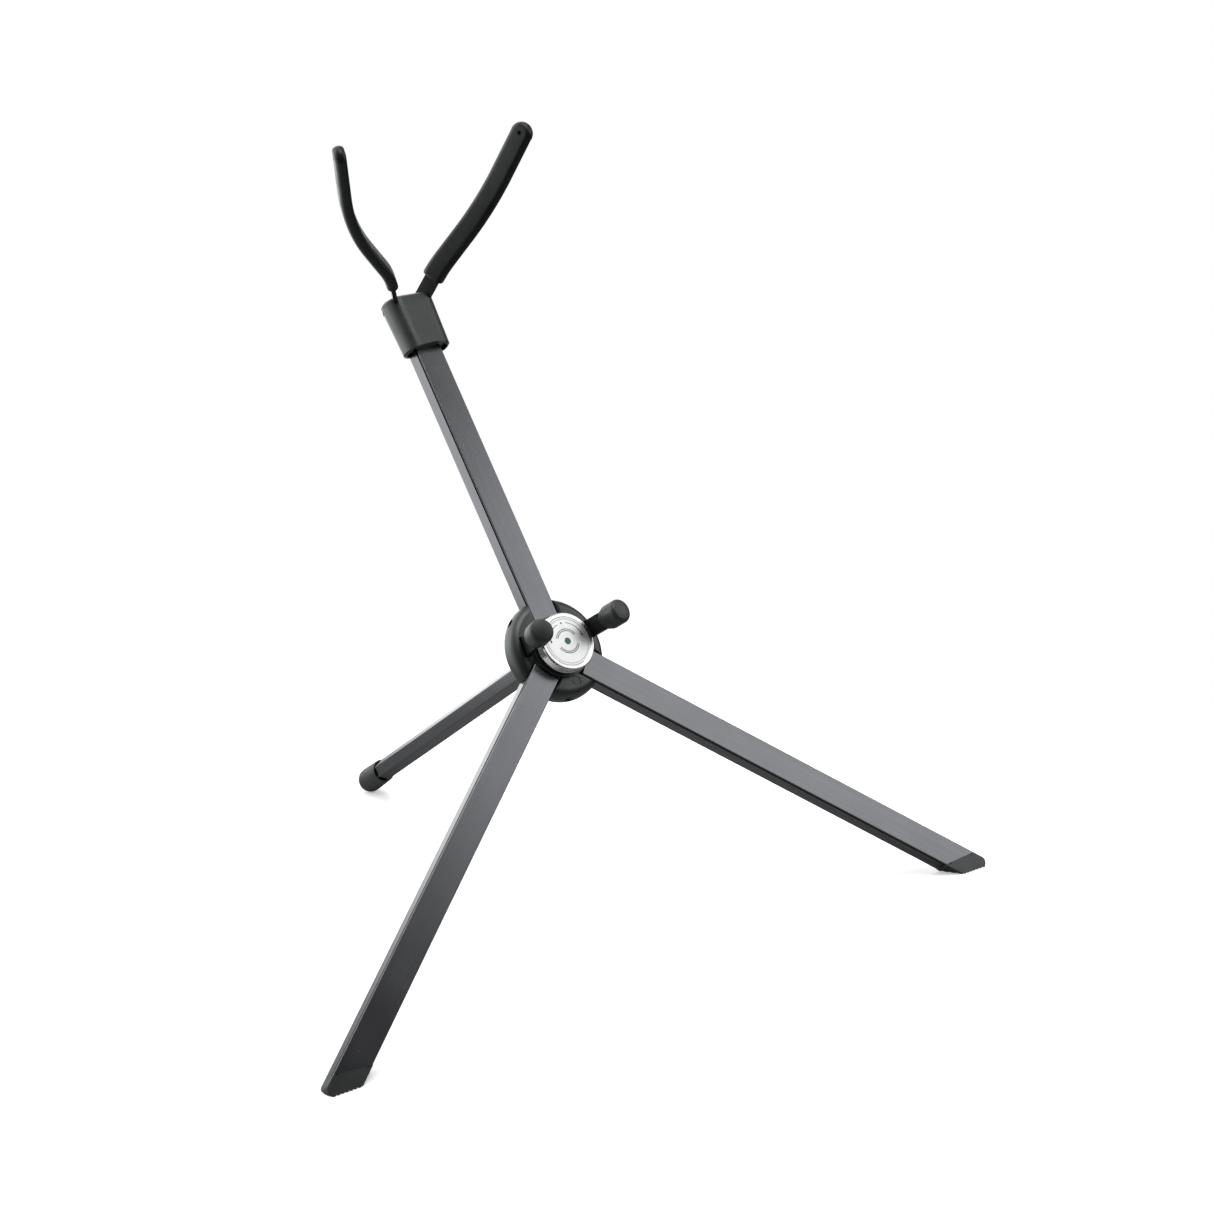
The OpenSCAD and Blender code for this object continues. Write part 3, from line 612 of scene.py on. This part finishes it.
def knurled_band(bm, z_low, z_high):
    """Diamond knurl: a grid of vertices pushed in along crossing helical grooves. Returns its
    lowest and highest rings."""
    fineness = 8
    around, up = KNURL_TEETH * fineness, KNURL_ROWS * fineness
    rings = []
    for j in range(up + 1):
        v = j / up
        z = z_low + (z_high - z_low) * v
        shift = KNURL_ROWS * v / 2
        fade = min(1.0, min(v, 1 - v) * 14)
        ring = []
        for i in range(around):
            u = i / around * KNURL_TEETH
            valley = min(abs((u + shift) % 1 - 0.5), abs((u - shift) % 1 - 0.5))
            sunk = KNURL_DEPTH * (1 - min(1.0, 2.4 * valley))
            r = KNOB_R - sunk * fade - KNURL_EDGE_DROP * (1 - fade)
            a = 2 * math.pi * i / around
            ring.append(bm.verts.new((r * math.cos(a), r * math.sin(a), z)))
        rings.append(ring)
    bridge(bm, rings)
    return rings[0], rings[-1]


def knob_mesh():
    """Knurled side, rounded crown with the disc's recess, and a boss underneath."""
    bm = bmesh.new()
    low, high = knurled_band(bm, KNOB_FROM + 0.35, KNOB_TOP - 0.85)
    crown = [(KNOB_R - 0.15, KNOB_TOP - 0.7)]
    crown += arc(KNOB_R - 0.65, KNOB_TOP - 0.55, 0.45, 0, 70, 5)
    crown += [(KNOB_R - 0.8, KNOB_TOP - 0.03), (KNOB_R - 1.1, KNOB_TOP),
              (DISC_R + 0.4, KNOB_TOP), (DISC_R + 0.25, KNOB_TOP - 0.08),
              (DISC_R + 0.1, KNOB_TOP - 0.3), (DISC_R + 0.1, KNOB_TOP - 0.55)]
    bridge(bm, [high] + [circle(bm, r, z, len(high)) for r, z in crown])
    under = [(KNOB_R - 0.5, KNOB_FROM), (12.0, KNOB_FROM), (12.0, KNOB_FROM - KNOB_BOSS),
             (7.05, KNOB_FROM - KNOB_BOSS)]
    bridge(bm, [low] + [circle(bm, r, z, len(low)) for r, z in under])
    return bm


knob = new_object("knob_body", knob_mesh(), HUB, chrome, "knob", sharp=25)
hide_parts("knob")


def print_arc(bm, r_in, r_out, start, end, steps):
    """Thin printed arc or, over 360 degrees, ring, as a closed slab."""
    section = ((r_in, PRINT_LOW), (r_out, PRINT_LOW), (r_out, PRINT_HIGH), (r_in, PRINT_HIGH))
    full = end - start == 360
    corners = []
    for i in range(steps if full else steps + 1):
        a = math.radians(start + (end - start) * i / steps)
        corners.append([bm.verts.new((r * math.cos(a), r * math.sin(a), z)) for r, z in section])
    if full:
        bridge(bm, corners + corners[:1])
    else:
        bridge(bm, corners)
        bm.faces.new(corners[0])
        bm.faces.new(reversed(corners[-1]))


def print_shape(bm, points):
    """Thin printed outline, as a closed slab."""
    low = [bm.verts.new((x, y, PRINT_LOW)) for x, y in points]
    high = [bm.verts.new((x, y, PRINT_HIGH)) for x, y in points]
    bridge(bm, [low, high])
    bm.faces.new(low)
    bm.faces.new(high)


def print_on_disc(name, material, draw):
    bm = bmesh.new()
    draw(bm)
    new_object(name, bm, HUB, material, "knob")


def draw_teal(bm):
    """Two interrupted rings, the index dot and the centre dot."""
    for r in (7.0, 8.2):
        for start in (24, 204):
            print_arc(bm, r, r + 0.6, start, start + 132, 60)
    print_shape(bm, arc(0, ARROW_R, 0.7, 0, 360, 24)[:-1])
    print_shape(bm, arc(0, 0, 2.4, 0, 360, 48)[:-1])


def draw_grey(bm):
    """Fine ring inside the disc's edge."""
    print_arc(bm, 15.5, 15.85, 0, 360, 160)


def draw_arrows(bm):
    """A turn arrow on each side of the index dot."""
    for side in SIDES.values():
        start, end = 90 - side * 14, 90 - side * 78
        print_arc(bm, ARROW_R - 0.2, ARROW_R + 0.2, start, end, 48)
        tip, base = math.radians(end - side * 9), math.radians(end)
        head = ((ARROW_R, tip), (ARROW_R + 0.9, base), (ARROW_R - 0.9, base))
        print_shape(bm, [(r * math.cos(a), r * math.sin(a)) for r, a in head])


print_on_disc("disc_teal_print", teal_ink, draw_teal)
print_on_disc("disc_grey_print", grey_ink, draw_grey)
print_on_disc("disc_arrow_print", black_ink, draw_arrows)


# ---- Studio ------------------------------------------------------------------------------------

def compass(azimuth, elevation):
    """Unit vector from angles in degrees. Azimuth 0 is +Y, behind the object, and 90 is +X."""
    a, e = math.radians(azimuth), math.radians(elevation)
    return Vector((math.sin(a) * math.cos(e), math.cos(a) * math.cos(e), math.sin(e)))


def area_light(name, azimuth, elevation, distance, size, power, target):
    """Softbox that faces the target. Degrees, metres and watts."""
    data = bpy.data.lights.new(name, "AREA")
    data.shape = "RECTANGLE"
    data.size, data.size_y = size
    data.energy = power
    light = bpy.data.objects.new(name, data)
    towards = compass(azimuth, elevation)
    light.location = target + towards * distance
    light.rotation_euler = (-towards).to_track_quat("-Z", "Y").to_euler()
    bpy.context.scene.collection.objects.link(light)


def studio_world():
    """White to the camera. Everything else sees a gradient, brightest behind the object."""
    world = bpy.data.worlds.new("studio")
    bpy.context.scene.world = world
    world.use_nodes = True
    nodes, links = world.node_tree.nodes, world.node_tree.links
    background = nodes["Background"]
    output = nodes["World Output"]
    coords = nodes.new("ShaderNodeTexCoord")
    direction = nodes.new("ShaderNodeVectorMath")
    direction.operation = "DOT_PRODUCT"
    direction.inputs[1].default_value = WORLD_BRIGHT_SIDE
    links.new(coords.outputs["Generated"], direction.inputs[0])
    ramp = nodes.new("ShaderNodeValToRGB")
    dark_end, bright_end = ramp.color_ramp.elements
    dark_end.position, dark_end.color = 0.0, grey(WORLD_DARK)
    bright_end.position, bright_end.color = 0.7, grey(WORLD_BRIGHT)
    links.new(direction.outputs["Value"], ramp.inputs["Fac"])
    links.new(ramp.outputs["Color"], background.inputs["Color"])
    white = nodes.new("ShaderNodeBackground")
    white.inputs["Color"].default_value = grey(1.0)
    path = nodes.new("ShaderNodeLightPath")
    mix = nodes.new("ShaderNodeMixShader")
    links.new(path.outputs["Is Camera Ray"], mix.inputs["Fac"])
    links.new(background.outputs[0], mix.inputs[1])
    links.new(white.outputs[0], mix.inputs[2])
    links.new(mix.outputs[0], output.inputs["Surface"])


def studio_floor(centre):
    """Pale floor that fades into the background away from the object. It is darker in
    reflections."""
    bm = bmesh.new()
    bmesh.ops.create_circle(bm, cap_ends=True, segments=128, radius=FLOOR_RADIUS)
    mesh = bpy.data.meshes.new("studio_floor")
    bm.to_mesh(mesh)
    bm.free()
    floor = bpy.data.objects.new("studio_floor", mesh)
    floor.location = (centre.x, centre.y, -FLOOR_BELOW)
    bpy.context.scene.collection.objects.link(floor)
    s = Shader("studio_floor")
    paper = s.noise(60.0, 3.0)
    s.set(Base_Color=s.mix(s.vary(paper), grey(0.90), grey(0.93)), Roughness=0.8,
          Emission_Color=grey(1.0), Emission_Strength=0.35)
    length = s.node("VectorMath", {0: s.coords}, operation="LENGTH").outputs["Value"]
    fade = s.spread(length, FLOOR_FADE_FROM, FLOOR_FADE_TO, 0.0, 1.0)
    clear = s.node("BsdfTransparent")
    dim = s.node("BsdfDiffuse", {"Color": grey(0.30)})
    path = s.node("LightPath")
    seen = s.node("MixShader", {"Fac": path.outputs["Is Glossy Ray"], 1: s.bsdf.outputs[0],
                                2: dim.outputs[0]})
    faded = s.node("MixShader", {"Fac": fade, 1: seen.outputs[0], 2: clear.outputs[0]})
    s.links.new(faded.outputs[0], s.nodes["Material Output"].inputs["Surface"])
    mesh.materials.append(s.material)


middle = (cad_box[0] + cad_box[1]) / 2
studio_world()
studio_floor(middle)
area_light("key_softbox", azimuth=119, elevation=29, distance=1.5, size=(1.24, 1.08), power=9.3,
           target=middle)
area_light("top_softbox", azimuth=150, elevation=80, distance=1.6, size=(0.95, 0.95), power=16,
           target=middle)
area_light("left_strip", azimuth=315, elevation=20, distance=1.5, size=(0.5, 1.2), power=6,
           target=middle)

camera_data = bpy.data.cameras.new("camera")
camera_data.lens = CAMERA_LENS
camera_data.sensor_width = 36.0
camera_data.clip_start, camera_data.clip_end = 0.1, 20.0
camera = bpy.data.objects.new("camera", camera_data)
bpy.context.scene.collection.objects.link(camera)
view = compass(CAMERA_AZIMUTH, -CAMERA_ELEVATION)
camera.location = HUB_CENTRE + LOOK_AT_OFFSET - view * CAMERA_DISTANCE
roll = Quaternion((0, 0, 1), math.radians(CAMERA_ROLL))
camera.rotation_euler = (view.to_track_quat("-Z", "Y") @ roll).to_euler()
bpy.context.scene.camera = camera
bpy.context.scene.view_settings.view_transform = "Standard"
